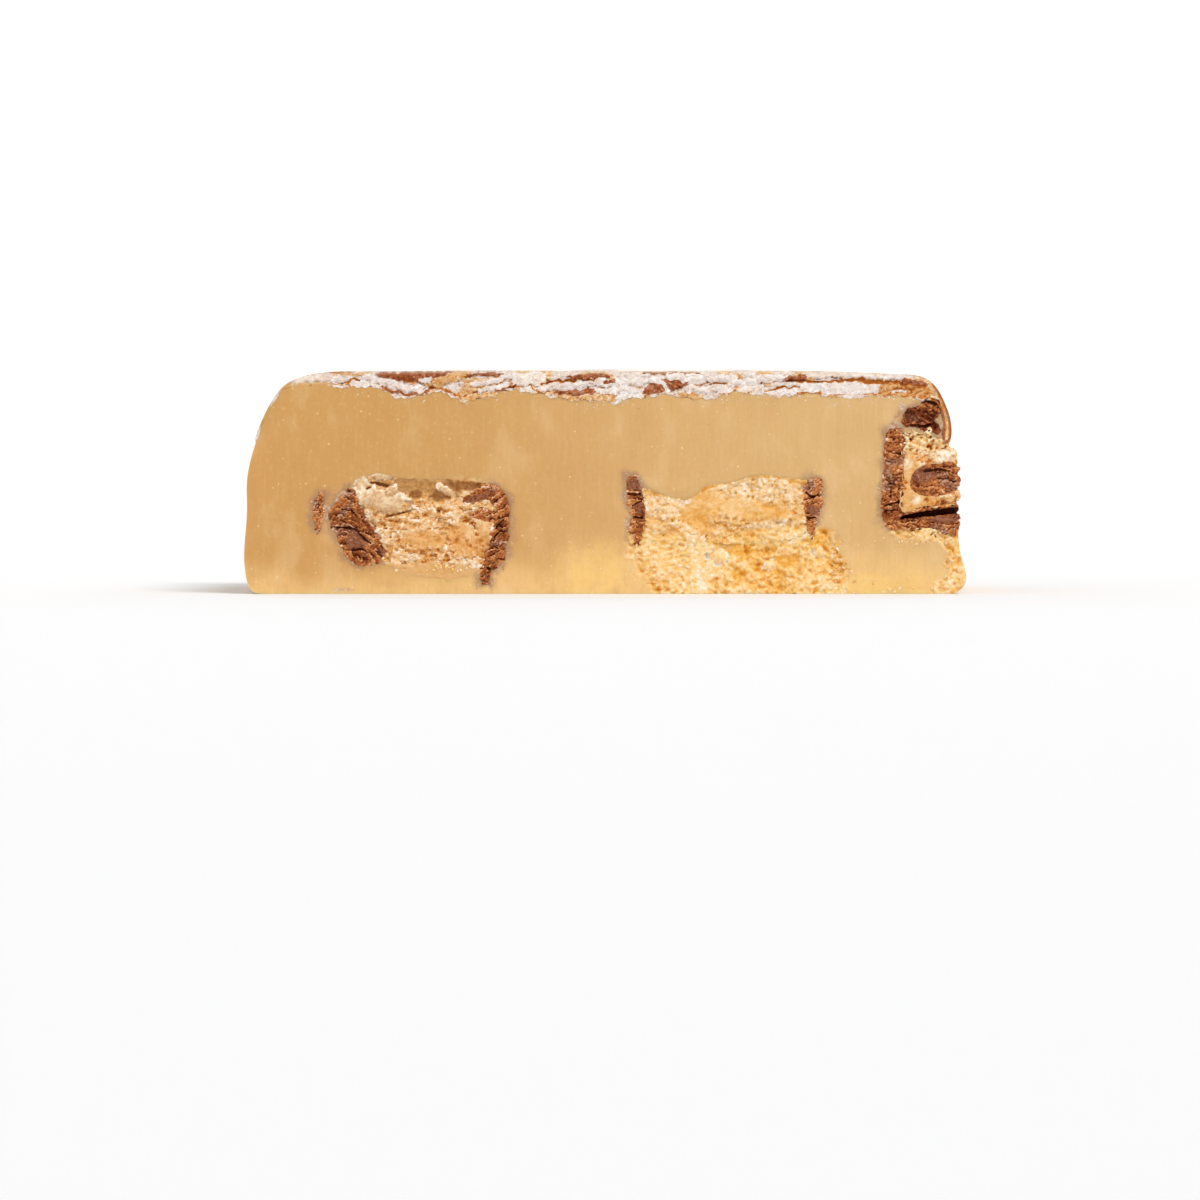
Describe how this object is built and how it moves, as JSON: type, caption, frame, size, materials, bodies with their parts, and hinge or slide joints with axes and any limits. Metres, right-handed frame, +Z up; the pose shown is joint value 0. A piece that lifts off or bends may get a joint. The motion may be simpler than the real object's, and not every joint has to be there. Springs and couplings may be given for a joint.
{
  "type": "fudge",
  "caption": "Half slab of caramel fudge, cut across so that the chocolate cream bars set inside it show, under a marbled chocolate coat.",
  "frame": {"origin": "under the middle of the slab, on the surface it rests on", "axes": "+X along the long side, to the right when the front cut is looked at; +Y through the slab, from the front cut to the back cut; +Z up"},
  "size_m": [0.0721, 0.0364, 0.0228],
  "materials": {
    "caramel_fudge": "smooth, soft and slightly translucent, with fine knife streaks at the cuts",
    "marbled_chocolate": "glossy swirls of white and milk chocolate, frosty where it is cut",
    "milk_chocolate": "snapped milk chocolate, flaky and dry",
    "dark_chocolate": "dark, rough and slightly shiny",
    "cream_filling": "porous, crumbly pale cream",
    "wafer_crumb": "dry pale yellow honeycomb crumb"
  },
  "bodies": {
    "root": {"fudge_body": "caramel_fudge", "marbled_coat": "marbled_chocolate", "left_bar_chunk": "milk_chocolate", "left_bar_sliver": "milk_chocolate", "left_bar_hook": "milk_chocolate", "left_bar_filling": "cream_filling", "middle_bar_left_wall": "milk_chocolate", "middle_bar_right_wall": "milk_chocolate", "middle_bar_filling": "cream_filling", "right_bar_shell": "milk_chocolate", "right_bar_cap": "dark_chocolate", "right_bar_wafer": "wafer_crumb", "right_bar_cream": "cream_filling", "right_bar_roll": "milk_chocolate"}
  },
  "joints": []
}
